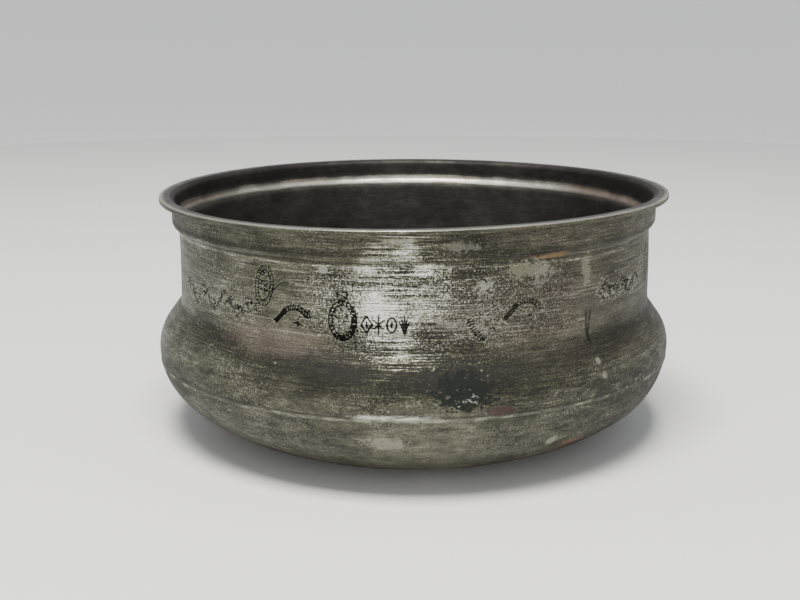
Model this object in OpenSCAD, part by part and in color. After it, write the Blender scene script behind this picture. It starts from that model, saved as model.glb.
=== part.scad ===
// Shaving bowl: a hammered copper wall with an out-turned rim, brazed to a dished base.
// Millimetres, +Z up. The origin is on the axis, on the flat face that the bowl stands on.
// The front of the bowl faces -Y.

/* [Bowl] */
// Outer diameter of the rim
rim_d = 200; // [196:1:206]
// Height from the table to the top of the rim
height = 95; // [90:1:105]
// Thickness of the hammered sheet
sheet_t = 1.2; // [0.8:0.1:1.6]

/* [Rim and collar] */
// Width of the flat flange outside the collar
flange_w = 4.6; // [3:0.1:6]
// Thickness of the flange at its hammered-up outer edge
edge_t = 1.8; // [1.7:0.1:2.4]
// Radius on the upper corner of the outer edge
edge_r = 0.5; // [0.2:0.1:0.8]
// Radius of the bend where the flange meets the outside of the collar
bend_r = 0.8; // [0.5:0.1:1.2]
// Radius of the bend where the flange runs down into the inside of the collar
inner_bend_r = 2.2; // [1.6:0.1:3]
// Depth of the collar's upright band, from the top of the rim
collar_h = 9.6; // [8:0.1:12]
// How far the step under the collar moves the wall inwards
step_w = 2.4; // [1.5:0.1:3]
// Height of the step under the collar
step_h = 4.8; // [4:0.1:6]

/* [Neck and shoulder] */
// How much wider the neck is at its foot than at its top, on the radius
neck_flare = 0.3; // [0:0.1:1]
// Radius of the hollow where the neck meets the shoulder
neck_fillet_r = 3; // [2:0.1:4]
// Slope of the shoulder, from the vertical
shoulder_angle = 36.5; // [32:0.5:42]
// Radius of the round part of the shoulder
shoulder_r = 16.5; // [14:0.5:18]

/* [Belly and base] */
// Greatest diameter of the belly
belly_d = 204; // [202:1:208]
// Height of the widest line above the table
belly_h = 34.7; // [33:0.1:38]
// Radius of the belly between its widest line and the seam
belly_r = 30; // [26:1:40]
// Angle below the widest line at which the seam lies
seam_angle = 8; // [5:0.5:10]
// Radius of the lower corner of the dish
heel_r = 27; // [24:0.5:29]
// Angle at which the lower corner gives way to the shallow bottom
heel_angle = 50; // [46:1:54]
// Slope at which the shallow bottom would reach the table
floor_slope = 11; // [9:0.5:13]
// Radius of the edge of the flat that the bowl stands on
foot_r = 20; // [15:1:25]

/* [Brazed seams] */
// Direction of the side seam, to the right of the front
side_seam_at = 40; // [0:1:180]
// Width of the braze in the side seam
side_seam_w = 2.6; // [1.5:0.1:4]
// Length of the thinned lap of the belly seam
lap_w = 5; // [3:0.5:6]
// Width of the braze line that shows round the belly
braze_w = 0.8; // [0.5:0.1:1.2]
// How far the braze line stands proud of the belly
bead_h = 0.2; // [0.1:0.05:0.25]

/* [Hidden] */
$fn = 180;
// Segments in a small arc and in a large one
small_arc = 6;
large_arc = 14;

tinned_copper = [0.47, 0.46, 0.40];
dark_tinned_copper = [0.38, 0.38, 0.31];
tinned_braze = [0.60, 0.57, 0.46];

rim_r = rim_d / 2;
collar_r = rim_r - flange_w;
neck_r = collar_r - step_w;
neck_foot_r = neck_r + neck_flare;

// The step is two equal arcs, one after the other
step_arc_r = (pow(step_w / 2, 2) + pow(step_h / 2, 2)) / step_w;
step_arc_angle = asin(step_h / 2 / step_arc_r);
collar_foot_z = height - collar_h;
neck_top_z = collar_foot_z - step_h;

inner_r = collar_r - sheet_t;
edge_chamfer = edge_r / 2;

// Centre of the round shoulder, and the point where its straight slope begins
shoulder_c = [belly_d / 2 - shoulder_r, belly_h];
slope_foot = shoulder_c + shoulder_r * [cos(shoulder_angle), sin(shoulder_angle)];
neck_corner_z = slope_foot.y + (slope_foot.x - neck_foot_r) / tan(shoulder_angle);
neck_fillet_c = [neck_foot_r + neck_fillet_r,
                 neck_corner_z + neck_fillet_r * tan(shoulder_angle / 2)];

// Centres of the arcs below the widest line
belly_c = [belly_d / 2 - belly_r, belly_h];
heel_c = belly_c + (belly_r - heel_r) * [cos(seam_angle), -sin(seam_angle)];
floor_angle = 90 - floor_slope;
bottom_r = (heel_c.y - heel_r * sin(heel_angle)) / (sin(floor_angle) - sin(heel_angle));
bottom_c = heel_c - (bottom_r - heel_r) * [cos(heel_angle), -sin(heel_angle)];
foot_x = bottom_c.x + sqrt(pow(bottom_r - foot_r, 2) - pow(bottom_c.y - foot_r, 2));
foot_c = [foot_x, foot_r];
foot_angle = atan2(bottom_c.y - foot_r, foot_x - bottom_c.x);

// Angles that the lap of the belly seam and its braze take up
lap_angle = lap_w / heel_r * 180 / PI;
braze_angle = braze_w / heel_r * 180 / PI;
side_seam_angle = side_seam_w / neck_r * 180 / PI;

// Points on an arc about centre c, from angle a0 to angle a1. With first = 1 it leaves out
// its first point, to carry on from an arc that ends there.
function arc(c, r, a0, a1, n, first = 0) =
    [for (i = [first:n]) c + r * [cos(a0 + (a1 - a0) * i / n), sin(a0 + (a1 - a0) * i / n)]];

function reversed(points) = [for (i = [len(points) - 1:-1:0]) points[i]];

// A point of the sheet at the belly seam: depth under the outer face, and angle below the widest line
function heel_point(depth, angle) = heel_c + (heel_r - depth) * [cos(angle), -sin(angle)];

// The wall from the collar down to the belly seam, at a depth under its outer face
function wall_line(depth) = concat(
    arc([collar_r - step_arc_r, collar_foot_z], step_arc_r - depth, 0, -step_arc_angle, small_arc),
    arc([neck_r + step_arc_r, neck_top_z], step_arc_r + depth, 180 - step_arc_angle, 180, small_arc, 1),
    arc(neck_fillet_c, neck_fillet_r + depth, 180, 180 + shoulder_angle, small_arc),
    arc(shoulder_c, shoulder_r - depth, shoulder_angle, 0, large_arc),
    arc(belly_c, belly_r - depth, 0, -seam_angle, small_arc, 1)
);

// The dish from an angle below the widest line to the axis, at a depth under its outer face
function dish_line(depth, from_angle) = concat(
    arc(heel_c, heel_r - depth, -from_angle, -heel_angle, large_arc),
    arc(bottom_c, bottom_r - depth, -heel_angle, -foot_angle, large_arc, 1),
    arc(foot_c, foot_r - depth, -foot_angle, -90, small_arc, 1),
    [[0, depth]]
);

// Outer edge and underside of the flange, down to the outside of the collar
function flange_line() = concat(
    arc([rim_r - edge_r, height - edge_r], edge_r, 90, 0, small_arc),
    [[rim_r, height - edge_t + edge_chamfer], [rim_r - edge_chamfer, height - edge_t]],
    arc([collar_r + bend_r, height - sheet_t - bend_r], bend_r, 90, 180, small_arc)
);

// Inside of the wall from the top of the flange down to the tip of the thinned lap
function inner_line() = concat(
    arc([inner_r + inner_bend_r, height - inner_bend_r], inner_bend_r, 90, 180, small_arc),
    wall_line(sheet_t),
    arc(heel_c, heel_r - sheet_t, -seam_angle, -seam_angle - lap_angle, small_arc, 1)
);

module wall_section() {
    polygon(concat(flange_line(), wall_line(0), reversed(inner_line())));
}

// The upper sheet, open by the width of its side seam
module wall_sheet() {
    color(tinned_copper)
        rotate([0, 0, side_seam_at - 90 + side_seam_angle / 2])
            rotate_extrude(angle = 360 - side_seam_angle)
                wall_section();
}

// The dished bottom, flat where it stands
module base_dish() {
    color(dark_tinned_copper)
        rotate_extrude()
            polygon(concat(
                dish_line(0, seam_angle + braze_angle),
                reversed(dish_line(sheet_t, seam_angle + lap_angle + braze_angle))
            ));
}

// The braze that fills the side seam through the whole thickness of the wall
module side_seam_braze() {
    color(tinned_braze)
        rotate([0, 0, side_seam_at - 90 - side_seam_angle / 2])
            rotate_extrude(angle = side_seam_angle)
                wall_section();
}

// The braze in the lap between wall and dish, with the fine bead that shows outside
module belly_seam_braze() {
    color(tinned_braze)
        rotate_extrude()
            polygon([
                heel_point(0, seam_angle),
                heel_point(-bead_h, seam_angle + braze_angle / 2),
                heel_point(0, seam_angle + braze_angle),
                heel_point(sheet_t, seam_angle + lap_angle + braze_angle),
                heel_point(sheet_t, seam_angle + lap_angle)
            ]);
}

wall_sheet();
base_dish();
side_seam_braze();
belly_seam_braze();
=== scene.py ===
# An old shaving bowl of tinned copper: a hammered wall with an out-turned rim, brazed to a dished base.
# Metres, +Z up, the front of the bowl faces -Y. Azimuths are degrees to the right of the front.
import math
import random

import bmesh
import bpy
import numpy as np
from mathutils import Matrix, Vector, geometry, kdtree


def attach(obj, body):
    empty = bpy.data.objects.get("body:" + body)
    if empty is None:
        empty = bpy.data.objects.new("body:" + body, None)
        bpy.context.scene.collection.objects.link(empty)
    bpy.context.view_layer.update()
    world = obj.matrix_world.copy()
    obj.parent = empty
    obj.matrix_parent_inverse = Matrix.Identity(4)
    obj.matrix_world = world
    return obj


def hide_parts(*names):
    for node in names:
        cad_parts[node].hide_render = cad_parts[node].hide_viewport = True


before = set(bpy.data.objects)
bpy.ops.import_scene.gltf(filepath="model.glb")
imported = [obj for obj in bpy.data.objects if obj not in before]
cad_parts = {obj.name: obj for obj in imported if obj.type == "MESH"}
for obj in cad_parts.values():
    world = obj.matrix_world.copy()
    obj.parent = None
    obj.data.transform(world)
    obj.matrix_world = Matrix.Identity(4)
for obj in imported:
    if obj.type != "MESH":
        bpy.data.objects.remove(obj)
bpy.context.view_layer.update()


# ------------------------------------------------------------------ Camera, table and light
# A pale table top that sweeps up into a pale wall all round, under one soft light hung high a little
# in front of the bowl and a weak one low in front. The camera looks a little down on the rim.

class Value:
    """A number that varies over a surface. Arithmetic on it adds Math nodes to its tree."""

    def __init__(self, nodes, socket):
        self.nodes = nodes
        self.socket = socket

    def maths(self, operation, *others):
        terms = dict(enumerate((self,) + others))
        return self.nodes.node("ShaderNodeMath", {"operation": operation}, terms)

    def out(self, name):
        return Value(self.nodes, self.socket.node.outputs[name])

    def __add__(self, other):
        return self.maths("ADD", other)

    def __radd__(self, other):
        return self.maths("ADD", other)

    def __sub__(self, other):
        return self.maths("SUBTRACT", other)

    def __rsub__(self, other):
        return (self * -1) + other

    def __mul__(self, other):
        return self.maths("MULTIPLY", other)

    def __rmul__(self, other):
        return self.maths("MULTIPLY", other)

    def __truediv__(self, other):
        return self.maths("DIVIDE", other)

    def __mod__(self, other):
        return self.maths("MODULO", other)

    def __abs__(self):
        return self.maths("ABSOLUTE")

    def at_most(self, limit):
        return self.maths("MINIMUM", limit)

    def at_least(self, limit):
        return self.maths("MAXIMUM", limit)

    def over(self, low, high):
        """0 below low, 1 above high, and smooth between. With low above high it falls instead."""
        return self.nodes.node(
            "ShaderNodeMapRange", {"interpolation_type": "SMOOTHSTEP"},
            {"Value": self, "From Min": low, "From Max": high})

    def near(self, middle, reach):
        """1 at middle, falling smoothly to 0 at reach to either side."""
        return abs(self - middle).over(reach, 0)


class Nodes:
    """The nodes of one material or one Geometry Nodes tree."""

    def __init__(self, tree):
        self.tree = tree
        tree.nodes.clear()

    def node(self, kind, settings=None, sockets=None):
        """Adds a node: its settings first, then a value or a link for each socket named."""
        node = self.tree.nodes.new(kind)
        for name, value in (settings or {}).items():
            if name == "stops":
                ramp = node.color_ramp.elements
                while len(ramp) < len(value):
                    ramp.new(0.5)
                for stop, (position, colour) in zip(ramp, value):
                    stop.position = position
                    stop.color = (*colour, 1)
            else:
                setattr(node, name, value)
        for name, value in (sockets or {}).items():
            if isinstance(value, Value):
                self.tree.links.new(value.socket, node.inputs[name])
            else:
                node.inputs[name].default_value = value
        shown = [socket for socket in node.outputs if socket.enabled]
        return Value(self, shown[0]) if shown else None


def hang(name, colour, power, place, aim, width, depth):
    """A soft light of width by depth at place, turned to face the point aim, out of the camera's sight."""
    light = bpy.data.lights.new(name, "AREA")
    light.color = colour
    light.energy = power
    light.shape = "RECTANGLE"
    light.size = width
    light.size_y = depth
    lamp = bpy.data.objects.new(name, light)
    lamp.location = place
    lamp.rotation_euler = (Vector(aim) - Vector(place)).to_track_quat("-Z", "Y").to_euler()
    lamp.visible_camera = False
    bpy.context.scene.collection.objects.link(lamp)


camera_data = bpy.data.cameras.new("camera")
camera_data.sensor_width = 36
camera_data.lens = 53.14
camera_data.clip_end = 20
camera = bpy.data.objects.new("camera", camera_data)
camera.location = (-0.0053, -0.470, 0.1592)
camera.rotation_euler = (math.radians(90 - 13.36), 0, 0)
bpy.context.scene.collection.objects.link(camera)
bpy.context.scene.camera = camera

hang("overhead", (1.0, 0.985, 0.96), 33, (-0.10, -0.40, 1.34), (0, 0, 0), 0.62, 0.52)
hang("front_fill", (1.0, 0.99, 0.97), 1.8, (-0.07, -1.05, 0.20), (0, 0, 0.06), 0.30, 0.30)

world = bpy.data.worlds.new("room")
world.use_nodes = True
room = Nodes(world.node_tree)
room_light = room.node("ShaderNodeBackground", None, {"Color": (0.93, 0.96, 1.0, 1), "Strength": 0.50})
room.node("ShaderNodeOutputWorld", None, {"Surface": room_light})
bpy.context.scene.world = world


def lay_stage(name, rows, colour, roughness, columns=96):
    """A round stage surface from rows of (radius, height), with a plain pale finish."""
    mesh = bmesh.new()
    rings = []
    for radius, level in rows:
        if radius == 0:
            rings.append([mesh.verts.new((0, 0, level))] * columns)
            continue
        turns = [math.tau * column / columns for column in range(columns)]
        rings.append([mesh.verts.new((radius * math.cos(a), radius * math.sin(a), level)) for a in turns])
    for inner, outer in zip(rings, rings[1:]):
        for column in range(columns):
            after = (column + 1) % columns
            corners = [inner[column], outer[column], outer[after], inner[after]]
            mesh.faces.new(list(dict.fromkeys(corners)))
    for face in mesh.faces:
        face.smooth = True
    data = bpy.data.meshes.new(name)
    mesh.to_mesh(data)
    mesh.free()
    stage = bpy.data.objects.new(name, data)
    bpy.context.scene.collection.objects.link(stage)
    material = bpy.data.materials.new(name)
    material.use_nodes = True
    paint = Nodes(material.node_tree)
    surface = paint.node(
        "ShaderNodeBsdfPrincipled", None,
        {"Base Color": (*colour, 1), "Roughness": roughness, "Specular IOR Level": 0.2})
    paint.node("ShaderNodeOutputMaterial", None, {"Surface": surface})
    data.materials.append(material)
    return stage


table_r = 1.2
sweep_r = 1.5
wall_top = 1.7
pale = (0.93, 0.925, 0.905)
lay_stage("table", [(0, 0), (0.2, 0), (0.6, 0), (table_r, 0)], pale, 0.7)
sweep = [math.radians(5 * step) for step in range(19)]
rise = [(table_r + sweep_r * math.sin(a), sweep_r * (1 - math.cos(a))) for a in sweep]
backdrop = lay_stage("backdrop", rise + [(table_r + sweep_r, wall_top)], (0.985, 0.98, 0.965), 0.8)
backdrop.visible_diffuse = False
backdrop.visible_shadow = False


# ------------------------------------------------------------------ Wall
# The upper sheet of hammered copper, hot-tinned: flat rim, upright collar, step, engraved neck and
# round shoulder, bent into a ring. Its two ends stop short of each other by the width of the side
# seam, and its lower edge is thinned where the base laps over it.

MM = 0.001
rim_r = 100 * MM
bowl_h = 95 * MM
sheet_t = 1.2 * MM
flange_w = 4.6 * MM
edge_t = 1.8 * MM
edge_r = 0.5 * MM
bend_r = 0.8 * MM
inner_bend_r = 2.2 * MM
collar_foot_z = bowl_h - 9.6 * MM
collar_r = rim_r - flange_w
step_w = 2.4 * MM
step_h = 4.8 * MM
ledge_lift = 1.4 * MM
neck_r = collar_r - step_w
neck_foot_r = neck_r + 0.3 * MM
neck_top_z = collar_foot_z - step_h
neck_fillet_r = 3 * MM
shoulder_angle = 36.5
shoulder_r = 16.5 * MM
belly_z = 34.7 * MM
belly_max_r = 102 * MM
belly_r = 30 * MM
seam_angle = 8
heel_r = 27 * MM
lap_angle = math.degrees(5 * MM / heel_r)
braze_angle = math.degrees(0.8 * MM / heel_r)
side_seam_at = 40
side_seam_angle = math.degrees(2.6 * MM / neck_r)

shoulder_c = (belly_max_r - shoulder_r, belly_z)
belly_c = (belly_max_r - belly_r, belly_z)
heel_c = (belly_c[0] + (belly_r - heel_r) * math.cos(math.radians(seam_angle)),
          belly_c[1] - (belly_r - heel_r) * math.sin(math.radians(seam_angle)))
slope_x = shoulder_c[0] + shoulder_r * math.cos(math.radians(shoulder_angle))
slope_z = shoulder_c[1] + shoulder_r * math.sin(math.radians(shoulder_angle))
neck_corner_z = slope_z + (slope_x - neck_foot_r) / math.tan(math.radians(shoulder_angle))
neck_fillet_c = (neck_foot_r + neck_fillet_r,
                 neck_corner_z + neck_fillet_r * math.tan(math.radians(shoulder_angle / 2)))
step_arc_r = ((step_w / 2) ** 2 + (step_h / 2) ** 2) / step_w
step_arc_angle = math.degrees(math.asin(step_h / 2 / step_arc_r))


def arc(centre, radius, start, end, spacing, first=0):
    """Points (radius from the axis, height) along an arc, no further apart than spacing."""
    count = max(3, math.ceil(radius * math.radians(abs(end - start)) / spacing))
    turns = [math.radians(start + (end - start) * i / count) for i in range(first, count + 1)]
    return [(centre[0] + radius * math.cos(a), centre[1] + radius * math.sin(a)) for a in turns]


def spaced(points, spacing):
    """The same outline with points added where two are further apart than spacing."""
    filled = [points[0]]
    for (x0, z0), (x1, z1) in zip(points, points[1:]):
        count = max(1, math.ceil(math.hypot(x1 - x0, z1 - z0) / spacing))
        filled += [(x0 + (x1 - x0) * i / count, z0 + (z1 - z0) * i / count) for i in range(1, count + 1)]
    return filled


def wall_line(depth, fine):
    """The wall from the collar down to the belly seam, at a depth under its outer face."""
    return (arc((collar_r - step_arc_r, collar_foot_z), step_arc_r - depth, 0, -step_arc_angle, fine)
            + arc((neck_r + step_arc_r, neck_top_z), step_arc_r + depth, 180 - step_arc_angle, 180, fine, 1)
            + arc(neck_fillet_c, neck_fillet_r + depth, 180, 180 + shoulder_angle, fine)
            + arc(shoulder_c, shoulder_r - depth, shoulder_angle, 0, 2 * fine)
            + arc(belly_c, belly_r - depth, 0, -seam_angle, 2 * fine, 1))


def wall_outline(fine, coarse):
    """The closed outline of the wall's section: outer face from the rim down, then inner face back up."""
    flange = (arc((rim_r - edge_r, bowl_h - edge_r), edge_r, 90, 0, fine)
              + [(rim_r, bowl_h - edge_t + edge_r / 2), (rim_r - edge_r / 2, bowl_h - edge_t)]
              + arc((collar_r + bend_r, bowl_h - sheet_t - bend_r), bend_r, 90, 180, fine))
    inner = (arc((collar_r - sheet_t + inner_bend_r, bowl_h - inner_bend_r), inner_bend_r, 90, 180, fine)
             + [(x, z + ledge_lift if z > neck_top_z - step_h else z) for x, z in wall_line(sheet_t, fine)]
             + arc(heel_c, heel_r - sheet_t, -seam_angle, -seam_angle - lap_angle, coarse, 1))
    outer = spaced(flange + wall_line(0, fine), coarse)
    inner = spaced(inner[::-1] + [flange[0]], coarse)[:-1]
    inside = [0.0] * len(outer) + [1.0] * len(inner)
    return outer + inner, inside


def smooth(share):
    """0 to 1 with an easy start and end."""
    share = np.clip(share, 0, 1)
    return share * share * (3 - 2 * share)


rim_sag = 1.05 * MM
seam_tilt = 1.2 * MM
dent_depth = 0.075 * MM
neck_shift = 0.4 * MM
seam_z = heel_c[1] - heel_r * math.sin(math.radians(seam_angle))
tilt_reach = 16 * MM


def hand_made(turn, radius, level):
    """Places a point of the true outline as the coppersmith left it: a rim that dips at the front left
    and lifts at the front right, a belly seam that climbs to the right, and shallow dents."""
    s = np.sin(turn)
    c = np.cos(turn)
    sag = smooth((level - 0.056) / 0.039)
    lift = sag * rim_sag * (-1 + 1.52 * s * (1 + c) / 2)
    lift = lift + seam_tilt * s * smooth(1 - np.abs(level - seam_z) / tilt_reach)
    waves = (np.sin(3 * turn + 1.1 + 60 * level) + np.sin(5 * turn + 2.3 - 90 * level)
             + 0.6 * np.sin(11 * turn + 0.4 + 140 * level))
    dent = -dent_depth * (1 + waves / 2.6) * smooth((level - 0.036) / 0.01)
    shift = neck_shift * smooth((level - 0.036) / 0.012) * smooth((0.088 - level) / 0.02)
    out = radius + dent
    return np.stack([out * s + shift, -out * c, level + lift], axis=-1)


# The frieze is laid out flat, in millimetres: along is the way round the neck from the front, up is the
# height above the table. A stroke is (points, half width, depth), all cut with a small graver.
round_mm = (neck_r + neck_foot_r) / 2 / MM
degree = round_mm * math.pi / 180
engraver = random.Random(7)


def stroke(points, half_width=0.34, depth=0.22, wobble=0.10):
    """One cut along a smooth line through the points, with the small unsteadiness of a hand."""
    line = []
    for (x0, y0), (x1, y1) in zip(points, points[1:]):
        count = max(1, round(math.hypot(x1 - x0, y1 - y0) / 0.5))
        line += [(x0 + (x1 - x0) * i / count, y0 + (y1 - y0) * i / count) for i in range(count)]
    line.append(points[-1])
    shaken = [(x + engraver.uniform(-wobble, wobble), y + engraver.uniform(-wobble, wobble)) for x, y in line]
    return (shaken, half_width, depth * engraver.uniform(0.75, 1.1))


def oval(x, y, wide, tall, start=0, end=360, lean=0.0, count=28):
    """Points round an oval, or round part of it, leaning to the right by lean."""
    turns = [math.radians(start + (end - start) * i / count) for i in range(count + 1)]
    return [(x + wide * math.cos(a) + lean * tall * math.sin(a), y + tall * math.sin(a)) for a in turns]


def ticks(line, length, every, half_width=0.24, depth=0.2, slant=0.0):
    """Short cuts across a line, like the hatching that fills a border."""
    made = []
    travelled = 0
    for (x0, y0), (x1, y1) in zip(line, line[1:]):
        reach = math.hypot(x1 - x0, y1 - y0)
        travelled += reach
        if travelled < every or reach == 0:
            continue
        travelled = 0
        across_x = -(y1 - y0) / reach + slant
        across_y = (x1 - x0) / reach
        half = length / 2 * engraver.uniform(0.7, 1.15)
        ends = [(x0 - across_x * half, y0 - across_y * half), (x0 + across_x * half, y0 + across_y * half)]
        made.append(stroke(ends, half_width, depth, 0.06))
    return made


def dense(line, gap=0.45):
    """The same line with a point at least every gap."""
    return spaced(line, gap)


def speckled(x, y, wide, tall, count, size=0.7, lean=0.0):
    """Short cuts scattered over an oval, thick enough to look like punched matting."""
    marks = []
    for i in range(count):
        turn = engraver.uniform(0, math.tau)
        reach = math.sqrt(engraver.uniform(0, 1))
        py = y + tall * reach * math.sin(turn)
        px = x + wide * reach * math.cos(turn) + lean * (py - y)
        slant = engraver.choice((-0.8, -0.3, 0.4, 0.9))
        half = size * engraver.uniform(0.35, 0.75)
        ends = [(px - half, py - half * slant), (px + half, py + half * slant)]
        marks.append(stroke(ends, engraver.uniform(0.24, 0.36), 0.2, 0.05))
    return marks


def matted_border(line, thick, every, depth=0.24):
    """A border of close crossed cuts along a line, darkest where it is thick."""
    return (ticks(line, thick, every, 0.34, depth, 0.5)
            + ticks(line, thick * 0.9, every * 1.3, 0.3, depth, -0.6))


def medallion(x, y, wide=4.9, tall=7.0):
    """An oval frame with a matted border, a bud above it and a pendant below."""
    outer = dense(oval(x, y, wide, tall))
    inner = dense(oval(x - 0.2, y + 0.2, wide - 1.5, tall - 1.6))
    middle = dense(oval(x, y, wide - 0.75, tall - 0.85))
    heavy = dense(oval(x, y, wide - 0.55, tall - 0.7, -135, 50))
    made = [stroke(outer, 0.38, 0.26), stroke(inner, 0.3, 0.22)]
    made += matted_border(middle, 1.2, 1.2) + matted_border(heavy, 1.5, 0.7, 0.3)
    made += speckled(x, y + tall + 1.7, 2.1, 2.1, 16)
    made += [stroke(oval(x, y + tall + 1.8, 1.8, 1.9, -60, 240, count=12), 0.34, 0.24)]
    made += matted_border([(x - 2.4, y - tall - 0.6), (x, y - tall - 3.2)], 0.9, 0.8)
    made += matted_border([(x, y - tall - 3.2), (x + 2.6, y - tall - 0.4)], 0.9, 0.8)
    made += speckled(x, y + 1.0, wide - 2.6, tall - 3.6, 14, 0.8)
    return made


def bud(x, y, wide=4.0, tall=7.8, lean=0.12):
    """A tall leaf bud with a doubled outline, matted inside, and a curl to the right of it."""
    outer = dense(oval(x, y, wide, tall, lean=lean))
    inner = dense(oval(x, y, wide * 0.66, tall * 0.74, lean=lean))
    made = [stroke(outer, 0.3, 0.2), stroke(inner, 0.28, 0.18)]
    made += ticks(dense(oval(x, y, wide * 0.83, tall * 0.87, lean=lean)), wide * 0.35, 0.9, 0.3, 0.2, 0.3)
    made += speckled(x, y, wide * 0.7, tall * 0.8, round(wide * tall * 1.1), 0.9, lean)
    curl = [(x + wide * 0.7, y - tall * 0.5), (x + wide * 1.1, y - tall * 0.12),
            (x + wide * 1.7, y + tall * 0.2), (x + wide * 2.5, y + tall * 0.3)]
    made += [stroke(dense(curl, 0.8), 0.36, 0.22),
             stroke([(cx - 0.2, cy + 1.2) for cx, cy in curl[:3]], 0.3, 0.2)]
    return made


def arched_leaf(x, y, span=12.5, rise=5.6):
    """A leaf thrown over in an arch: a thick dark stem at the lower left, matted over to its tip."""
    arch = dense(oval(x, y, span / 2 - 0.8, rise - 0.8, 140, 8))
    foot = (x - span * 0.66, y - rise * 0.12)
    crook = (x - span * 0.33, y + rise * 0.62)
    bar = dense([foot, crook])
    made = [stroke(dense(oval(x, y, span / 2, rise, 150, 10)), 0.3, 0.2)]
    made += [stroke(dense(oval(x, y, span / 2 - 1.8, rise - 1.7, 150, 25)), 0.34, 0.24)]
    made += [stroke(bar, 0.7, 0.34), stroke([(px + 0.7, py - 0.7) for px, py in bar], 0.55, 0.3)]
    made += matted_border(arch, 1.6, 0.8, 0.26)
    made += speckled(x + 0.6, y - 1.4, 1.5, 1.5, 8, 1.0)
    return made


def vine(x0, x1, y, rise=4.6, wave=14.0):
    """A running scroll: a doubled stem that swings up and down, with a curled leaf in every bend."""
    count = max(2, round(abs(x1 - x0) / 0.5))
    xs = [x0 + (x1 - x0) * i / count for i in range(count + 1)]
    stem = [(x, y + rise * 0.7 * math.sin(math.tau * (x - x0) / wave)) for x in xs]
    made = [stroke(stem, 0.34, 0.12, 0.2), stroke([(px + 0.7, py - 1.4) for px, py in stem], 0.5, 0.05, 0.12)]
    bend = x0 + wave / 4
    side = 1
    while bend < x1 - 1:
        middle = y + side * (rise - 3.6)
        leaf = dense(oval(bend, middle, 3.6, 3.2, 200 if side > 0 else 20, -40 if side > 0 else -220))
        made += [stroke(leaf, 0.5, 0.05), stroke(dense(oval(bend, middle, 2.2, 2.0, 0, 250)), 0.5, 0.05)]
        made += ticks(leaf, 1.2, 0.8, 0.34, 0.16, 0.4) + speckled(bend, middle, 2.6, 2.2, 14, 0.7)
        made += [(points, 0.42, 0.05) for points, half, depth in speckled(bend, middle, 3.2, 2.8, 14, 1.0)]
        bend += wave / 2
        side = -side
    return made


def broad_leaf(x, y, wide=5.2, tall=7.6, lean=0.0):
    """A broad pointed leaf: two bowed sides, a hatched border and a rib."""
    right = [(x + lean * t + wide * math.sin(math.pi * t) ** 0.8, y - tall + 2 * tall * t)
             for t in [i / 16 for i in range(17)]]
    left = [(2 * x - px + 2 * lean * i / 16, py) for i, (px, py) in enumerate(right)]
    made = [stroke(dense(right), 0.36, 0.14, 0.22), stroke(dense(left), 0.34, 0.18, 0.22)]
    made += matted_border(dense([(px - 0.9, py) for px, py in right]), 1.5, 1.1, 0.2)
    made += ticks(dense([(px + 0.6, py) for px, py in left[:9]]), 1.8, 0.8, 0.4, 0.3)
    made += [(points, half, 0.05) for points, half, depth in speckled(x, y, wide * 0.8, tall * 0.8, 16, 1.0)]
    made.append(stroke([(x, y - tall + 2), (x + lean * 0.5, y + tall - 3)], 0.24, 0.13))
    return made


def punched(shape, x, y, size=3.0):
    """One mark struck with a punch, deep and dark: a lozenge, a star, a ring or a dart."""
    if shape == "lozenge":
        line = [(x, y + size), (x + size * 0.62, y), (x, y - size), (x - size * 0.62, y), (x, y + size)]
        return [stroke(line, 0.5, 0.36, 0.03), stroke([(x, y + 0.6), (x, y - 0.6)], 0.5, 0.34, 0.02)]
    if shape == "star":
        rays = [math.radians(60 * i + 30) for i in range(6)]
        tips = [(x + size * 0.60 * math.cos(a), y + size * math.sin(a)) for a in rays]
        return [stroke([(x, y), tip], 0.45, 0.34, 0.02) for tip in tips]
    if shape == "ring":
        return [stroke(oval(x, y, size * 0.52, size * 0.86, count=16), 0.52, 0.36, 0.03),
                stroke([(x, y + 0.5), (x, y - 0.5)], 0.6, 0.36, 0.02)]
    fan = [-0.55, -0.28, 0, 0.28, 0.55]
    return [stroke([(x, y - size), (x + share * size, y + size * (0.9 - abs(share)))], 0.42, 0.34, 0.03)
            for share in fan]


def scratches(x0, x1, low, high, count):
    """Long fine lines left by wiping the hot tin round with a gritty cloth."""
    made = []
    for i in range(count):
        start = engraver.uniform(x0, x1)
        length = engraver.uniform(5, 22)
        level = engraver.uniform(low, high)
        sway = engraver.uniform(-0.15, 0.15)
        line = [(start, level), (start + length / 2, level + sway), (start + length, level)]
        made.append(stroke(line, 0.16, 0.07, 0.03))
    return made


def at(azimuth):
    """The way round the neck, in millimetres, to an azimuth."""
    return azimuth * degree


cuts = vine(at(-66), at(-36.5), 62.3)
cuts += bud(at(-34), 71.8)
cuts += arched_leaf(at(-26.3), 60.2)
cuts += medallion(at(-15.5), 61.9)
for place, shape in zip((-10.4, -7.9, -5.2, -2.6), ("lozenge", "star", "ring", "dart")):
    cuts += punched(shape, at(place), 61.0)
worn_strokes = broad_leaf(at(13.6), 63.2, 5.4, 8.0, 0.6) + arched_leaf(at(23.2), 63.4, 12.0, 5.4)
cuts += [(points, half, depth * 0.7) for points, half, depth in worn_strokes]
cuts += speckled(at(14.6), 73.6, 3.0, 3.4, 14, 0.9, -0.5)
cuts += [(points, 0.5, 0.05) for points, half, depth in speckled(at(14.2), 73.8, 2.6, 3.2, 16, 0.9, -0.5)]
cuts += [(points, half, depth * 0.4) for points, half, depth in bud(at(27.0), 75.8, 2.7, 3.9, 0.5)]
cuts += vine(at(43.5), at(62), 66.5, 3.6, 12)
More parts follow.
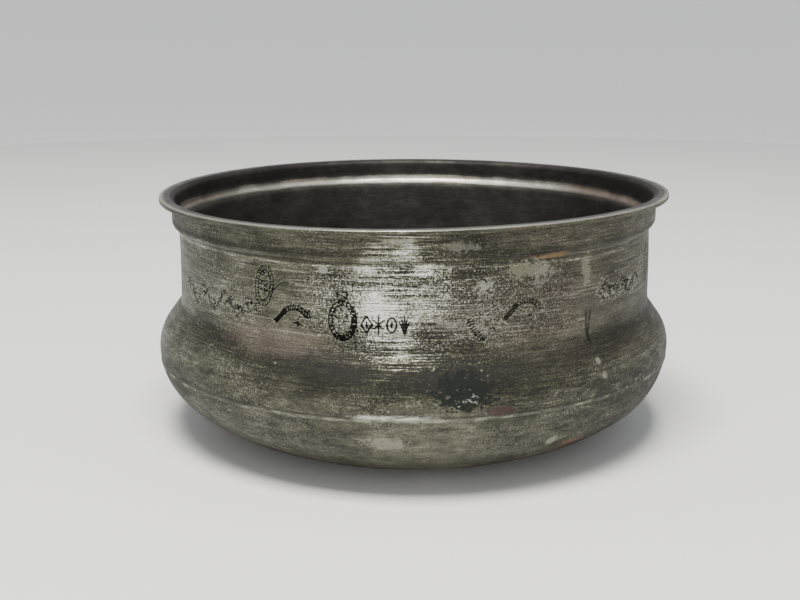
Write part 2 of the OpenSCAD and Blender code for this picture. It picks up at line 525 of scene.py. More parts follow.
for side in range(5):
    middle = 78 + side * 44
    cuts += medallion(at(middle), 62.2)
    cuts += arched_leaf(at(middle + 10.5), 60.2)
    cuts += bud(at(middle - 8.5), 71.2)
    cuts += vine(at(middle + 17), at(middle + 33), 61.8)
    cuts += broad_leaf(at(middle - 9), 61.5, 3.6, 4.6, 0.8) if side % 2 else []
cuts += scratches(at(-14), at(14), 56, 71, 26)
cuts += scratches(at(-60), at(250), 55.5, 79, 60)

band_top = 79.6 * MM
band_foot = 54.6 * MM
wall_columns = 344
first_turn = math.radians(side_seam_at + side_seam_angle / 2)
last_turn = math.radians(side_seam_at + 360 - side_seam_angle / 2)
turns = np.linspace(first_turn, last_turn, wall_columns + 1)
band_start = math.degrees(first_turn) * degree
band_end = math.degrees(last_turn) * degree
band_xs = np.linspace(band_start, band_end, wall_columns + 1)


def groove_depths(places, strokes):
    """How deep each place (along, up) lies in the cuts, in millimetres."""
    samples = [(x, y, half, depth) for points, half, depth in strokes for x, y in points]
    tree = kdtree.KDTree(len(samples))
    for index, (x, y, half, depth) in enumerate(samples):
        tree.insert((x, y, 0), index)
    tree.balance()
    widest = max(half for points, half, depth in strokes)
    depths = np.zeros(len(places))
    for row, (x, y) in enumerate(places):
        for found, index, distance in tree.find_range((x, y, 0), widest):
            half, depth = samples[index][2:]
            depths[row] = max(depths[row], depth * (1 - (distance / half) ** 2))
    return depths


def unrolled_band(strokes):
    """The frieze laid flat: its points, its triangles and the depth of the cuts at each point."""
    full_round = 360 * degree
    low = band_foot / MM
    high = band_top / MM
    levels = np.linspace(low, high, 17)
    moved = []
    for points, half, depth in strokes:
        shift = full_round if points[0][0] < band_start else 0
        moved.append(([(x + shift, y) for x, y in points], half, depth))
    taken = {}
    places = []

    def offer(x, y, clear):
        """Keeps the point if it is inside the band and no kept point is closer than clear."""
        cell = (math.floor(x / 0.4), math.floor(y / 0.4))
        reach = range(-2, 3) if clear > 0.4 else range(-1, 2)
        for i in reach:
            for j in reach:
                for px, py in taken.get((cell[0] + i, cell[1] + j), ()):
                    if (px - x) ** 2 + (py - y) ** 2 < clear * clear:
                        return
        taken.setdefault(cell, []).append((x, y))
        places.append((x, y))

    for x in band_xs:
        offer(x, low, 0)
        offer(x, high, 0)
    for y in levels[1:-1]:
        offer(band_start, y, 0)
        offer(band_end, y, 0)
    for points, half, depth in moved:
        sides = []
        for index, (x, y) in enumerate(points):
            x0, y0 = points[max(0, index - 1)]
            x1, y1 = points[min(len(points) - 1, index + 1)]
            reach = math.hypot(x1 - x0, y1 - y0) or 1
            wide = max(half, 0.26)
            side = ((y0 - y1) / reach * wide, (x1 - x0) / reach * wide)
            sides += [(x, y, 0.2), (x + side[0], y + side[1], 0.22), (x - side[0], y - side[1], 0.22)]
        for x, y, clear in sides:
            if band_start + 0.3 < x < band_end - 0.3 and low + 0.3 < y < high - 0.3:
                offer(x, y, clear)
    for row, y in enumerate(levels[1:-1]):
        for x in band_xs[1:-1]:
            offer(x + (0.4 if row % 2 else -0.4), y, 0.75)
    flat = [Vector(place) for place in places]
    found = geometry.delaunay_2d_cdt(flat, [], [], 0, 1e-5)
    return np.array([tuple(v) for v in found[0]]), found[2], moved


crisp_angle = math.radians(48)


def bent_strip(name, outline, inside, strip_turns, offset=None, band=None):
    """The section outline carried round through strip_turns as a closed solid with flat ends.
    offset(turns, levels), if given, moves the points out. The engraved frieze takes the place of the
    faces between the two rows of band, if given."""
    rows = len(outline)
    columns = len(strip_turns)
    section = np.array(outline)
    turn_grid = np.repeat(strip_turns[:, None], rows, axis=1)
    radius_grid = np.repeat(section[None, :, 0], columns, axis=0)
    level_grid = np.repeat(section[None, :, 1], columns, axis=0)
    if offset is not None:
        radius_grid = radius_grid + offset(turn_grid, level_grid)
    points = hand_made(turn_grid, radius_grid, level_grid)
    mesh = bmesh.new()
    inside_layer = mesh.verts.layers.float.new("inside")
    cut_layer = mesh.verts.layers.float.new("cut")
    skipped = range(band[0] + 1, band[1]) if band else ()
    grid = {}
    for column in range(columns):
        for row in range(rows):
            if row in skipped:
                continue
            vertex = mesh.verts.new(points[column, row])
            vertex[inside_layer] = inside[row]
            grid[column, row] = vertex
    for row in range(rows):
        after = (row + 1) % rows
        if (0, row) not in grid or (0, after) not in grid or (band and row == band[0]):
            continue
        for column in range(columns - 1):
            corners = ((column, row), (column, after), (column + 1, after), (column + 1, row))
            mesh.faces.new([grid[corner] for corner in corners])
    edges = [[grid.get((column, row)) for row in range(rows)] for column in (0, columns - 1)]
    if band:
        flat, triangles, moved = unrolled_band(cuts)
        depths = groove_depths(flat, moved)
        band_turns = np.radians(flat[:, 0] / degree)
        levels = flat[:, 1] * MM
        foot_share = (neck_top_z - levels) / (neck_top_z - neck_fillet_c[1])
        radii = neck_r + (neck_foot_r - neck_r) * foot_share - depths * MM
        placed = hand_made(band_turns, radii, levels)
        top_row, foot_row = band
        column_of = {round(x * 1000): i for i, x in enumerate(band_xs)}
        vertices = []
        ends = ([], [])
        for (x, y), depth, place in zip(flat, depths, placed):
            column = column_of.get(round(x * 1000))
            if column is not None and abs(y - band_top / MM) < 1e-3:
                vertices.append(grid[column, top_row])
            elif column is not None and abs(y - band_foot / MM) < 1e-3:
                vertices.append(grid[column, foot_row])
            else:
                vertex = mesh.verts.new(place)
                vertex[cut_layer] = min(1.0, depth / 0.2)
                vertices.append(vertex)
                if column in (0, columns - 1):
                    ends[0 if column == 0 else 1].append((y, vertex))
        for triangle in triangles:
            mesh.faces.new([vertices[i] for i in triangle])
        for edge, extra in zip(edges, ends):
            between = [vertex for y, vertex in sorted(extra, key=lambda item: -item[0])]
            edge[top_row + 1:foot_row] = between + [None] * (foot_row - top_row - 1 - len(between))
    for edge, backwards in zip(edges, (False, True)):
        loop = [vertex for vertex in edge if vertex is not None]
        mesh.faces.new(loop[::-1] if backwards else loop)
    for face in mesh.faces:
        face.smooth = True
    bmesh.ops.recalc_face_normals(mesh, faces=mesh.faces)
    data = bpy.data.meshes.new(name)
    mesh.to_mesh(data)
    mesh.free()
    data.set_sharp_from_angle(angle=crisp_angle)
    piece = bpy.data.objects.new(name, data)
    bpy.context.scene.collection.objects.link(piece)
    return piece


class Finish(Nodes):
    """The nodes of one finish on a piece, with the patterns that old tin is built from."""

    def __init__(self, name):
        self.material = bpy.data.materials.new(name)
        self.material.use_nodes = True
        super().__init__(self.material.node_tree)
        self.place = self.node("ShaderNodeTexCoord").out("Object")
        split = self.node("ShaderNodeSeparateXYZ", None, {0: self.place})
        self.x = split.out("X")
        self.y = split.out("Y")
        self.z = split.out("Z")
        self.turn = self.x.maths("ARCTAN2", self.y * -1)
        self.radius = (self.x * self.x + self.y * self.y).maths("SQRT")

    def noise(self, scale, detail=3, roughness=0.55, flatten=1.0, shift=0.0, distortion=0.0):
        """Soft random values. flatten above 1 draws them out round the bowl."""
        moved = self.node(
            "ShaderNodeMapping", None,
            {"Vector": self.place, "Location": (shift, shift * 0.7, shift * 1.3), "Scale": (1, 1, flatten)})
        return self.node(
            "ShaderNodeTexNoise", None,
            {"Vector": moved, "Scale": scale, "Detail": detail, "Roughness": roughness,
             "Distortion": distortion})

    def mix(self, share, first, second):
        """first where share is 0, second where it is 1."""
        sockets = {0: share, 6: self.colour(first), 7: self.colour(second)}
        return self.node("ShaderNodeMix", {"data_type": "RGBA"}, sockets).out(2)

    def colour(self, value):
        return value if isinstance(value, Value) else (*value, 1)

    def spot(self, azimuth, level, half_width, half_height, ragged=0.6, soft=0.35, edge=None):
        """1 inside an uneven patch round a place on the outer face, 0 away from it."""
        across = (self.turn - math.radians(azimuth)) * (neck_r / half_width)
        up = (self.z - level) * (1 / half_height)
        reach = (across * across + up * up).maths("SQRT")
        if edge is not None:
            reach = reach + (edge - 0.5) * (5 * ragged)
        return reach.over(1 + soft, 1 - soft)

    def done(self, colour, roughness, metallic, bump_height, bump_reach):
        """Joins the results to the shader and gives the finished material."""
        bump = self.node(
            "ShaderNodeBump", None, {"Height": bump_height, "Distance": bump_reach, "Strength": 1.0})
        surface = self.node(
            "ShaderNodeBsdfPrincipled", None,
            {"Base Color": colour, "Roughness": roughness, "Metallic": metallic, "Normal": bump,
             "Specular IOR Level": 0.3})
        self.node("ShaderNodeOutputMaterial", None, {"Surface": surface})
        return self.material


def old_tin(name):
    """Wiped tin over hammered copper after long use: dull olive grey, wiped round in streaks, pitted
    and flecked, brown where the tin is thin, nearly black inside."""
    f = Finish(name)
    inside = f.node("ShaderNodeAttribute", {"attribute_name": "inside"}).out("Fac")
    cut = f.node("ShaderNodeAttribute", {"attribute_name": "cut"}).out("Fac")
    outside = 1 - inside

    broad = f.noise(16, 3, 0.5)
    cloudy = f.noise(60, 4, 0.6, flatten=1.5, shift=3.1)
    wipe = f.noise(34, 5, 0.78, flatten=34, shift=1.7)
    hairline = f.noise(80, 3, 0.8, flatten=48, shift=5.2)
    grit = f.noise(1500, 3, 0.75, flatten=1.3, shift=0.4)
    speck = f.noise(2400, 2, 0.6, shift=2.2)
    fleck_map = f.noise(620, 4, 0.7, flatten=1.3, shift=7.7)
    ragged = f.noise(240, 5, 0.75, flatten=1.4, shift=4.4)
    mottle = f.noise(130, 5, 0.72, flatten=3.0, shift=9.6, distortion=0.5)
    uneven = ragged * 0.6 + fleck_map * 0.4

    # where the surface is eaten into a salt-and-pepper grain
    grain_map = f.noise(24, 3, 0.6, shift=8.3).over(0.42, 0.62)
    neck_grain = f.spot(5, 0.066, 0.040, 0.018, 0.3, 0.5, cloudy)
    belly_grain = f.z.over(0.040, 0.030) * 0.22
    grain = (grain_map * 0.35 + neck_grain * 0.8 + belly_grain).at_most(1.0) * outside
    wiped_front = f.spot(-2, 0.066, 0.030, 0.020, 0.2, 0.6, cloudy)
    wiped = (1 - f.z.over(0.042, 0.034) * 0.45) * (1 + wiped_front * 0.9)

    tone = 0.45 + (broad - 0.5) * 0.30 + (cloudy - 0.5) * 0.45
    tone = tone + ((wipe - 0.5) * 0.50 + (hairline - 0.5) * 0.95) * wiped
    tone = tone + (mottle - 0.5) * (0.45 + f.z.over(0.046, 0.036) * 0.60)
    tone = tone + (grit - 0.5) * (0.85 - f.z.over(0.044, 0.034) * 0.40 + grain * 1.9)
    tone = tone + (speck - 0.5) * (0.25 + grain * 1.8)

    # painted shade under the collar, on the shoulder and just above the belly seam, a painted highlight along
    # the foot of the step, and painted bounce light at the bottom front
    # painted shade: a dark band across the shoulder, lower at the front and lighter at the far sides
    shoulder_line = 0.0577 - f.turn.maths("COSINE") * 0.013 + (broad - 0.5) * 0.004
    shadow_share = 0.27 - abs(f.turn).over(0.75, 1.25) * 0.14 - f.turn.near(-1.2, 0.7) * 0.12
    shadow_share = shadow_share - f.turn.near(0.42, 0.4) * 0.07
    shadow = abs(f.z - shoulder_line).over(0.0085, 0.0) * shadow_share
    # painted shade in the step under the collar and in a thin line at the step's foot
    collar_shade = f.z.near(0.0842, 0.0022) * 0.20
    # painted highlight along the foot of the step
    step_foot_highlight = f.z.near(0.0799, 0.0007) * mottle.over(0.38, 0.62) * wipe * 0.40
    collar_shade = collar_shade + f.z.near(0.0813, 0.0008) * (0.04 + wipe * 0.26)
    # painted bounce light from the table at the bottom front, with the low sides and lower belly made darker
    low_bounce_light = f.z.over(0.014, 0.004) * (0.10 - abs(f.turn).over(0.2, 0.7) * 0.12)
    low_bounce_light = low_bounce_light - f.z.over(0.040, 0.026) * 0.05
    rim_swing = f.turn.maths("SINE") * (f.turn.maths("COSINE") + 1)
    below_rim = rim_swing * (rim_sag * 0.76) + (bowl_h - rim_sag) - f.z
    flange = f.radius.over(0.0955, 0.0963) * below_rim.over(0.00055, 0.00020)
    # painted shade just under the flange edge, and the collar made darker at the front
    collar_shade = collar_shade + below_rim.near(0.0019, 0.0006) * (0.08 + mottle * 0.2)
    collar_shade = collar_shade + f.z.over(0.084, 0.086) * f.turn.near(-0.03, 0.5) * 0.22

    # painted shade: the tin is made darker right of the front, on the right side, at the foot of the neck, on
    # the low sides and in a few patches on the collar and lower belly
    painted_shade_patches = f.spot(15, 0.066, 0.022, 0.023, 0.2, 0.6, cloudy) * 0.14
    right_side = f.turn.near(1.25, 1.15)
    painted_shade_patches = painted_shade_patches + right_side * 0.12
    painted_shade_patches = painted_shade_patches + abs(f.turn).over(0.35, 1.1) * f.z.over(0.042, 0.032) * 0.23
    painted_shade_patches = painted_shade_patches + f.turn.near(0.75, 0.75) * f.z.over(0.044, 0.036) * 0.12
    neck_foot_front = f.z.over(0.061, 0.053) * f.z.over(0.036, 0.042) * f.turn.near(-0.05, 0.45)
    painted_shade_patches = painted_shade_patches + neck_foot_front * 0.25
    painted_shade_patches = painted_shade_patches + f.turn.near(0.32, 0.30) * f.z.over(0.043, 0.037) * 0.08
    painted_shade_patches = painted_shade_patches + f.turn.near(-1.10, 0.70) * f.z.over(0.081, 0.084) * 0.13
    painted_shade_patches = painted_shade_patches + f.turn.near(-0.42, 0.45) * f.z.over(0.044, 0.036) * 0.11
    painted_shade_patches = painted_shade_patches + f.spot(8, 0.0765, 0.0120, 0.0030, 0.8, 0.5, cloudy) * 0.17
    brushed = (wipe + hairline + cloudy - 1.34).at_least(0)
    # painted highlight down the front of the neck, on streaks of worn bright tin
    neck_highlight_and_wear = f.spot(-3.5, 0.068, 0.0125, 0.022, 0.4, 0.8, wipe) * (0.04 + brushed * 2.3)
    tone = tone * (1 - flange * 0.50) + flange * (0.34 + mottle * 0.22)
    tone = tone + (step_foot_highlight + neck_highlight_and_wear + low_bounce_light - painted_shade_patches - shadow - collar_shade) * outside

    colour = f.node(
        "ShaderNodeValToRGB",
        {"stops": [(0.08, (0.014, 0.013, 0.010)), (0.30, (0.039, 0.038, 0.026)),
                   (0.47, (0.085, 0.083, 0.057)), (0.66, (0.190, 0.187, 0.140)), (0.98, (0.72, 0.71, 0.64))]},
        {0: tone})
    colour = f.mix(flange * 0.5, colour, f.mix(tone, (0.035, 0.031, 0.026), (0.66, 0.60, 0.52)))

    # brown and purple where the copper comes through
    warm_map = f.noise(30, 4, 0.65, shift=12.0).over(0.52, 0.74) * 0.18
    left_copper = f.spot(-32.5, 0.0528, 0.0200, 0.0052, 0.6, 0.5, uneven) * 0.8
    right_brown = f.spot(24, 0.062, 0.028, 0.012, 0.3, 0.6, cloudy) * 0.36
    brown_side = right_side * f.z.over(0.036, 0.046) * 0.32
    copper = (warm_map + left_copper + right_brown + brown_side).at_most(1.0) * outside
    colour = f.mix(copper * 0.55, colour, f.mix(tone, (0.066, 0.052, 0.042), (0.36, 0.295, 0.240)))

    # pale tin and green-grey flakes left between the pits
    flakes = fleck_map.over(0.62, 0.70) * (0.12 + grain * 0.5) * outside
    colour = f.mix(flakes, colour, (0.36, 0.365, 0.275))
    green_haze = f.z.over(0.040, 0.028) * (0.35 + cloudy * 0.5) * outside
    colour = f.mix(green_haze, colour, f.mix(tone, (0.017, 0.017, 0.011), (0.26, 0.255, 0.190)))

    # stains
    pale_patch = f.spot(25, 0.0784, 0.0070, 0.0027, 1.6, 0.3, uneven)
    colour = f.mix(pale_patch * 0.60, colour, f.mix(grit, (0.13, 0.125, 0.085), (0.36, 0.35, 0.25)))
    rust = f.spot(29, 0.0825, 0.006, 0.0010, 0.8, 0.4, uneven)
    colour = f.mix(rust * 0.5, colour, (0.30, 0.19, 0.09))
    chip = f.spot(-19.3, 0.0787, 0.0016, 0.0014, 0.25, 0.1, fleck_map)
    colour = f.mix(chip * 0.65, colour, (0.36, 0.35, 0.29))
    dark_stain = f.spot(8.8, 0.0402, 0.0086, 0.0058, 1.0, 0.12, uneven)
    colour = f.mix(dark_stain * 0.97, colour, f.mix(grit, (0.006, 0.007, 0.007), (0.055, 0.060, 0.054)))
    broken = (fleck_map * 0.5 + ragged * 0.5).over(0.54, 0.57)
    white_flecks = f.spot(8.8, 0.0378, 0.0058, 0.0032, 0.6, 0.3, ragged) * broken
    colour = f.mix(white_flecks * 0.8, colour, (0.42, 0.44, 0.38))
    red_stain = f.spot(15.9, 0.0324, 0.0042, 0.0018, 1.2, 0.15, uneven)
    colour = f.mix(red_stain * (0.50 + grit * 0.5), colour, (0.044, 0.022, 0.018))
    green_stain = f.spot(17.5, 0.0290, 0.0100, 0.0020, 1.4, 0.15, uneven)
    colour = f.mix(green_stain * 0.65, colour, (0.030, 0.038, 0.022))
    low_patch = f.spot(-6, 0.0215, 0.0070, 0.0024, 1.0, 0.15, uneven)
    colour = f.mix(low_patch * 0.5, colour, f.mix(grit, (0.16, 0.16, 0.11), (0.42, 0.42, 0.33)))
    scabs = ragged.over(0.66, 0.70) * f.z.over(0.058, 0.050) * 0.75 * outside
    colour = f.mix(scabs, colour, (0.30, 0.305, 0.235))
    orange_edge = f.spot(36.3, 0.0141, 0.0060, 0.0012, 1.0, 0.3, uneven)
    colour = f.mix(orange_edge * 0.6, colour, (0.20, 0.085, 0.045))
    seam_marks = f.spot(39.3, 0.0758, 0.0019, 0.0050, 1.5, 0.4, uneven) * 0.8
    for azimuth, level, half in ((39.6, 0.0440, 0.0010), (40.3, 0.0392, 0.0011), (29.4, 0.0178, 0.0020)):
        seam_marks = seam_marks + f.spot(azimuth, level, half, half, 0.7, 0.4, uneven)
    colour = f.mix(seam_marks.at_most(1.0) * 0.6, colour, (0.30, 0.30, 0.22))

    # the side seam: where the wall's two edges sink in below the neck, dirt lies along both
    seam_half = (f.z - 0.0490) * 0.112
    from_seam = abs(f.turn - math.radians(side_seam_at)) * neck_r
    seam_edge = abs(from_seam - seam_half).over(0.00062, 0.0002)
    seam_sunk = (seam_half - from_seam).over(0, 0.0002)
    seam_edge = seam_edge + seam_sunk * (0.35 + f.z.over(0.0570, 0.0530) * 0.45)
    seam_edge = seam_edge.at_most(1.0) * f.z.over(0.0484, 0.0500) * f.z.over(0.0618, 0.0600) * outside
    colour = f.mix(seam_edge * (0.55 + grit * 0.5), colour, (0.010, 0.009, 0.008))

    # the belly seam stands up as a fine line: a painted highlight along it with pale patches, and a painted
    # shade line over it
    bead_gap = f.z - f.turn.maths("SINE") * seam_tilt - seam_z
    bead_shade_line = bead_gap.near(0.0010, 0.0007) * outside
    colour = f.mix(bead_shade_line * (0.25 + mottle * 0.5), colour, (0.020, 0.018, 0.014))
    bead_highlight_and_patches = bead_gap.near(0.0, 0.0008) * (mottle.over(0.48, 0.60) * 0.45 + 0.14) * outside
    colour = f.mix(bead_highlight_and_patches, colour, (0.34, 0.34, 0.26))
    crust = (f.z.near(0.0325, 0.0050) * fleck_map.over(0.60, 0.66) * f.turn.near(0.90, 0.60)
             + f.z.near(0.0120, 0.0080) * fleck_map.over(0.62, 0.68) * 0.8).at_most(1.0) * outside
    colour = f.mix(crust * 0.7, colour, (0.36, 0.37, 0.27))
    collar_flakes = (f.spot(-3.0, 0.0896, 0.0048, 0.0009, 0.9, 0.4, uneven) * 1.3
                     + f.spot(9.0, 0.0876, 0.0060, 0.0014, 1.2, 0.4, uneven) * 0.7
                     + f.spot(14.6, 0.0740, 0.0026, 0.0020, 1.2, 0.4, uneven))
    pale_tin = f.mix(grit, (0.10, 0.10, 0.07), (0.56, 0.55, 0.44))
    colour = f.mix(collar_flakes.at_most(1.2) * 0.5, colour, pale_tin)

    # painted highlight on the belly seam at the front, where it is also rubbed bright
    seam_highlight_and_rub = f.spot(-4.5, 0.0316, 0.0110, 0.0008, 0.4, 0.6, uneven) * mottle.over(0.38, 0.56)
    seam_highlight_and_rub = seam_highlight_and_rub * (0.5 + grit * 1.3)
    colour = f.mix(seam_highlight_and_rub * 0.65, colour, (0.66, 0.65, 0.58))

    # the engraving holds black dirt
    burr = cut.near(0.16, 0.14)
    colour = f.mix(burr * (0.05 + grit * 0.9), colour, (0.42, 0.41, 0.34))
    dirt = cut.over(0.22, 0.72) * (1 - f.turn.near(0.55, 0.50) * 0.35)
    colour = f.mix(dirt * (0.65 + grit * 0.6), colour, (0.012, 0.011, 0.010))

    # inside: brown-black, with a painted highlight on the pinkish tin of the ledge under the collar
    soot_tone = 0.45 + (broad - 0.5) * 0.7 + (cloudy - 0.5) * 0.8 + (mottle - 0.5) * 0.6
    soot_tone = soot_tone + (ragged - 0.5) * 0.5 + (grit - 0.5) * 0.5 + (hairline - 0.5) * 0.5
    ledge_tin_and_highlight = abs(f.z - 0.0852 - (cloudy - 0.5) * 0.002).over(0.0021, 0.0006)
    ledge_tin_and_highlight = ledge_tin_and_highlight * (0.6 + 0.4 * broad.over(0.3, 0.6))
    # the painted highlight is brightest towards the back and just right of the middle
    ledge_tin_and_highlight = ledge_tin_and_highlight * (0.62 + 0.38 * f.y.over(0.045, 0.090)) * (0.5 + 0.5 * cloudy.over(0.40, 0.58))
    ledge_tin_and_highlight = ledge_tin_and_highlight * (0.80 + 0.20 * f.x.over(-0.030, 0.012) - 0.22 * f.x.over(0.045, 0.080))
    soot_tone = soot_tone - f.z.over(0.0870, 0.0885) * 0.22
    soot = f.node(
        "ShaderNodeValToRGB",
        {"stops": [(0.15, (0.024, 0.023, 0.021)), (0.5, (0.060, 0.057, 0.050)),
                   (0.85, (0.13, 0.124, 0.108))]},
        {0: soot_tone})
    soot = f.mix(ledge_tin_and_highlight * 0.95, soot, f.mix(broad.over(0.40, 0.60), (0.62, 0.49, 0.40), (0.86, 0.83, 0.72)))
    colour = f.mix(inside, colour, soot)

    stains = (red_stain + green_stain).at_most(1.0)
    roughness = 0.50 - (tone - 0.45) * 0.30 + (grit - 0.5) * grain * 0.5 + copper * 0.10
    roughness = roughness + (stains + dark_stain) * 0.20 + dirt * 0.3 + inside * (0.08 - ledge_tin_and_highlight * 0.20)
    dull = f.z.over(0.038, 0.026) * outside
    roughness = roughness - seam_highlight_and_rub * 0.12 - flange * 0.12 + dull * 0.10
    roughness = roughness.at_least(0.24).at_most(0.9)
    metallic = 0.42 + tone * 0.55 + dark_stain * 0.5 - stains * 0.6 - flakes * 0.4
    metallic = metallic + dirt * 0.5 - copper * 0.10 - pale_patch * 0.4
    metallic = metallic - dull * 0.22 - flange * 0.25 + neck_highlight_and_wear * 0.8 + inside * ledge_tin_and_highlight * 0.3
    metallic = metallic.at_least(0.0).at_most(1.0)

    height = wipe * 0.30 + hairline * 0.30 + cloudy * 0.3
    height = height + grit * (0.20 + grain * 0.55) + speck * (0.05 + grain * 0.20)
    return f.done(colour, roughness, metallic, height, 0.00022)


def with_band_rows(points, flags):
    """Puts one row at the top and one at the foot of the frieze in place of the rows it covers, and
    gives the outline, its flags and those two rows."""
    kept_points = []
    kept_flags = []
    band_rows = None
    for (x, z), flag in zip(points, flags):
        in_band = not flag and band_foot - 1e-7 <= z <= band_top + 1e-7 and x < neck_foot_r + 0.1 * MM
        if not in_band:
            kept_points.append((x, z))
            kept_flags.append(flag)
        elif band_rows is None:
            band_rows = (len(kept_points), len(kept_points) + 1)
            for level in (band_top, band_foot):
                share = (neck_top_z - level) / (neck_top_z - neck_fillet_c[1])
                kept_points.append((neck_r + (neck_foot_r - neck_r) * share, level))
                kept_flags.append(0.0)
    return kept_points, kept_flags, band_rows


band_points, band_flags, band_rows = with_band_rows(*wall_outline(0.45 * MM, 1.9 * MM))
wall = bent_strip("wall", band_points, band_flags, turns, band=band_rows)
tin_on_wall = old_tin("tin_on_wall")
wall.data.materials.append(tin_on_wall)
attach(wall, "root")
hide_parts("wall_sheet")


# ------------------------------------------------------------------ Side seam
# The braze that closes the wall to the right of the front, run in flush through the whole sheet. It
# lies a little low along its two edges, and two drops of spare metal stand on the shoulder.

seam_columns = 13
seam_turns = np.linspace(math.radians(side_seam_at - side_seam_angle / 2),
                         math.radians(side_seam_at + side_seam_angle / 2), seam_columns)


def seam_face(turn, level):
    """How far the braze stands off the face of the wall."""
    across = np.degrees(turn) - side_seam_at
    share = np.abs(across) / (side_seam_angle / 2)
    groove = np.exp(-((share - 0.62) / 0.2) ** 2) * (1 - smooth((share - 0.85) / 0.15))
    deep = 0.04 + 0.10 * smooth((0.0625 - level) / 0.002) * smooth((level - 0.047) / 0.004)
    uneven = 0.85 + 0.15 * np.sin(level * 2300) * np.sin(level * 700 + 1)
    drops = 0
    for drop_z, drop_h in ((0.0440, 0.45), (0.0392, 0.35)):
        away = ((level - drop_z) / (1.3 * MM)) ** 2 + (across * degree / 1.1) ** 2
        drops = drops + drop_h * np.exp(-away)
    ends = np.clip((1 - share) / 0.12, 0, 1)
    on_outside = np.clip((level - 0.0315) / 0.002, 0, 1)
    return (-groove * deep * uneven + drops) * ends * on_outside * MM


seam_points, seam_inside = wall_outline(0.45 * MM, 0.8 * MM)
outer_count = seam_inside.index(1.0)
flange_rows = 16


def seam_offset(turn, level):
    """The same, with the flange and the inner face left true."""
    moved = seam_face(turn, level)
    moved[:, outer_count:] = 0
    moved[:, :flange_rows] = 0
    return moved


side_seam = bent_strip("side_seam", seam_points, seam_inside, seam_turns, offset=seam_offset)
side_seam.data.materials.append(tin_on_wall)
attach(side_seam, "root")
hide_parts("side_seam_braze")


# ------------------------------------------------------------------ Base
# The dished bottom, one disc of copper hammered over a stake and tinned with the wall. It laps
# outside the wall's thinned edge and is beaten flat where the bowl stands.

heel_angle = 50
floor_angle = 79
bottom_r = ((heel_c[1] - heel_r * math.sin(math.radians(heel_angle)))
            / (math.sin(math.radians(floor_angle)) - math.sin(math.radians(heel_angle))))
bottom_c = (heel_c[0] - (bottom_r - heel_r) * math.cos(math.radians(heel_angle)),
            heel_c[1] + (bottom_r - heel_r) * math.sin(math.radians(heel_angle)))
foot_r = 20 * MM
foot_c = (bottom_c[0] + math.sqrt((bottom_r - foot_r) ** 2 - (bottom_c[1] - foot_r) ** 2), foot_r)
foot_angle = math.degrees(math.atan2(bottom_c[1] - foot_r, foot_c[0] - bottom_c[0]))


def dish_line(depth, from_angle):
    """The dish from an angle below the widest line in to the axis, at a depth under its outer face."""
    return (arc(heel_c, heel_r - depth, -from_angle, -heel_angle, 1.2 * MM)
            + arc(bottom_c, bottom_r - depth, -heel_angle, -foot_angle, 1.5 * MM, 1)
            + arc(foot_c, foot_r - depth, -foot_angle, -90, 1 * MM, 1)
            + [(0, depth)])


def turned_tree():
    """A tree that carries a section round the axis, with shallow hammer marks and the seam's tilt."""
    tree = bpy.data.node_groups.new("turned_and_hammered", "GeometryNodeTree")
    for name, kind in (("Section", "NodeSocketGeometry"), ("Columns", "NodeSocketInt"),
                       ("Mark depth", "NodeSocketFloat"), ("Marks per metre", "NodeSocketFloat"),
                       ("Seam tilt", "NodeSocketFloat"), ("Seed", "NodeSocketFloat"),
                       ("Finish", "NodeSocketMaterial")):
        tree.interface.new_socket(name=name, in_out="INPUT", socket_type=kind)
    tree.interface.new_socket(name="Piece", in_out="OUTPUT", socket_type="NodeSocketGeometry")
    g = Nodes(tree)
    given = g.node("NodeGroupInput")
    section = given.out("Section")
    rows = g.node("GeometryNodeAttributeDomainSize", {"component": "MESH"}, {"Geometry": section})
    sheet = g.node("GeometryNodeMeshGrid", None, {
        "Size X": 1.0, "Size Y": 1.0, "Vertices X": given.out("Columns") + 1, "Vertices Y": rows})
    index = g.node("GeometryNodeInputIndex")
    row = index % rows
    column = (index / rows).maths("FLOOR")
    turn = column / given.out("Columns") * math.tau
    outline = g.node(
        "GeometryNodeSampleIndex", {"data_type": "FLOAT_VECTOR"},
        {"Geometry": section, "Value": g.node("GeometryNodeInputPosition"), "Index": row})
    split = g.node("ShaderNodeSeparateXYZ", None, {0: outline})
    radius = split.out("X")
    level = split.out("Z")
    side = g.node("GeometryNodeInputNamedAttribute", {"data_type": "FLOAT"}, {"Name": "inside"})
    side_here = g.node("GeometryNodeSampleIndex", {"data_type": "FLOAT"},
                       {"Geometry": section, "Value": side, "Index": row})
    marked = g.node("GeometryNodeStoreNamedAttribute", {"data_type": "FLOAT", "domain": "POINT"},
                    {"Geometry": sheet, "Name": "inside", "Value": side_here})
    around = g.node("ShaderNodeCombineXYZ", None, {
        0: radius * turn.maths("SINE"), 1: radius * turn.maths("COSINE") * -1, 2: level})
    marks = g.node("ShaderNodeTexVoronoi", {"feature": "SMOOTH_F1", "voronoi_dimensions": "4D"},
                   {"Vector": around, "W": given.out("Seed"), "Scale": given.out("Marks per metre"),
                    "Smoothness": 0.6})
    away_from_foot = level.over(0.0, 0.006) * level.over(seam_z, seam_z - 0.003)
    dent = marks * given.out("Mark depth") * away_from_foot
    tilt = turn.maths("SINE") * given.out("Seam tilt") * abs(level - seam_z).over(tilt_reach, 0)
    shrink = radius - dent
    final = g.node("ShaderNodeCombineXYZ", None, {
        0: shrink * turn.maths("SINE"), 1: shrink * turn.maths("COSINE") * -1, 2: level + tilt})
    placed = g.node("GeometryNodeSetPosition", None, {"Geometry": marked, "Position": final})
    closed = g.node("GeometryNodeMergeByDistance", None, {"Geometry": placed, "Distance": 1e-6})
    shaded = g.node("GeometryNodeSetShadeSmooth", None, {"Geometry": closed})
    real = g.node("GeometryNodeRealizeInstances", None, {"Geometry": shaded})
    painted = g.node("GeometryNodeSetMaterial", None, {"Geometry": real, "Material": given.out("Finish")})
    g.node("NodeGroupOutput", None, {"Piece": painted})
    return tree


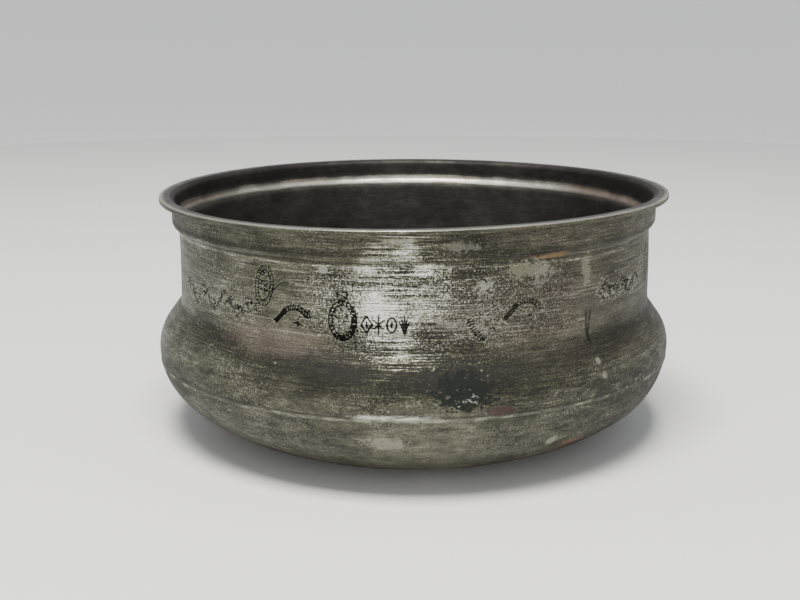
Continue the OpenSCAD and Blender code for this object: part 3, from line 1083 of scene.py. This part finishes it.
def turned(name, section, inside, tree, **sizes):
    """A plain closed mesh of the section carried round the axis by the tree, set up with sizes."""
    data = bpy.data.meshes.new(name + "_section")
    data.from_pydata([(x, 0, z) for x, z in section], [(i, i + 1) for i in range(len(section) - 1)], [])
    attribute = data.attributes.new("inside", "FLOAT", "POINT")
    attribute.data.foreach_set("value", inside)
    holder = bpy.data.objects.new(name + "_section", data)
    bpy.context.scene.collection.objects.link(holder)
    modifier = holder.modifiers.new("turned", "NODES")
    modifier.node_group = tree
    for item in tree.interface.items_tree:
        value = sizes.get(item.name.lower().replace(" ", "_"))
        if item.in_out == "INPUT" and value is not None:
            modifier[item.identifier] = value
    holder.update_tag()
    bpy.context.view_layer.update()
    seen = holder.evaluated_get(bpy.context.evaluated_depsgraph_get())
    mesh = bpy.data.meshes.new_from_object(seen)
    bpy.data.objects.remove(holder)
    solid = bmesh.new()
    solid.from_mesh(mesh)
    bmesh.ops.recalc_face_normals(solid, faces=solid.faces)
    solid.to_mesh(mesh)
    solid.free()
    mesh.set_sharp_from_angle(angle=crisp_angle)
    piece = bpy.data.objects.new(name, mesh)
    bpy.context.scene.collection.objects.link(piece)
    return piece


turning = turned_tree()
tin_on_base = old_tin("tin_on_base")
dish_outer = spaced(dish_line(0, seam_angle + braze_angle)[::-1], 2 * MM)
dish_inner = spaced(dish_line(sheet_t, seam_angle + lap_angle + braze_angle), 2 * MM)
dish_inside = [0.0] * len(dish_outer) + [1.0] * len(dish_inner)
base = turned("base", dish_outer + dish_inner, dish_inside, turning, columns=320, mark_depth=0.10 * MM,
              marks_per_metre=95.0, seam_tilt=seam_tilt, seed=2.0, finish=tin_on_base)
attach(base, "root")
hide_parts("base_dish")


# ------------------------------------------------------------------ Belly seam
# The ring of braze run into the lap between wall and base, wiped down to a fine raised line that
# shows round the belly just under its widest part.

bead_h = 0.2 * MM


def heel_point(depth, angle):
    """A point of the sheet at the belly seam: depth under the outer face, angle below the widest line."""
    turn = math.radians(angle)
    return (heel_c[0] + (heel_r - depth) * math.cos(turn), heel_c[1] - (heel_r - depth) * math.sin(turn))


bead = [heel_point(-bead_h * math.sin(math.pi * i / 6), seam_angle + braze_angle * i / 6) for i in range(7)]
ring_section = bead + [heel_point(sheet_t, seam_angle + lap_angle + braze_angle),
                       heel_point(sheet_t, seam_angle + lap_angle), bead[0]]
belly_seam = turned("belly_seam", ring_section, [0.0] * len(ring_section), turning, columns=320,
                    mark_depth=0.14 * MM, marks_per_metre=260.0, seam_tilt=seam_tilt, seed=5.0,
                    finish=tin_on_base)
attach(belly_seam, "root")
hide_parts("belly_seam_braze")
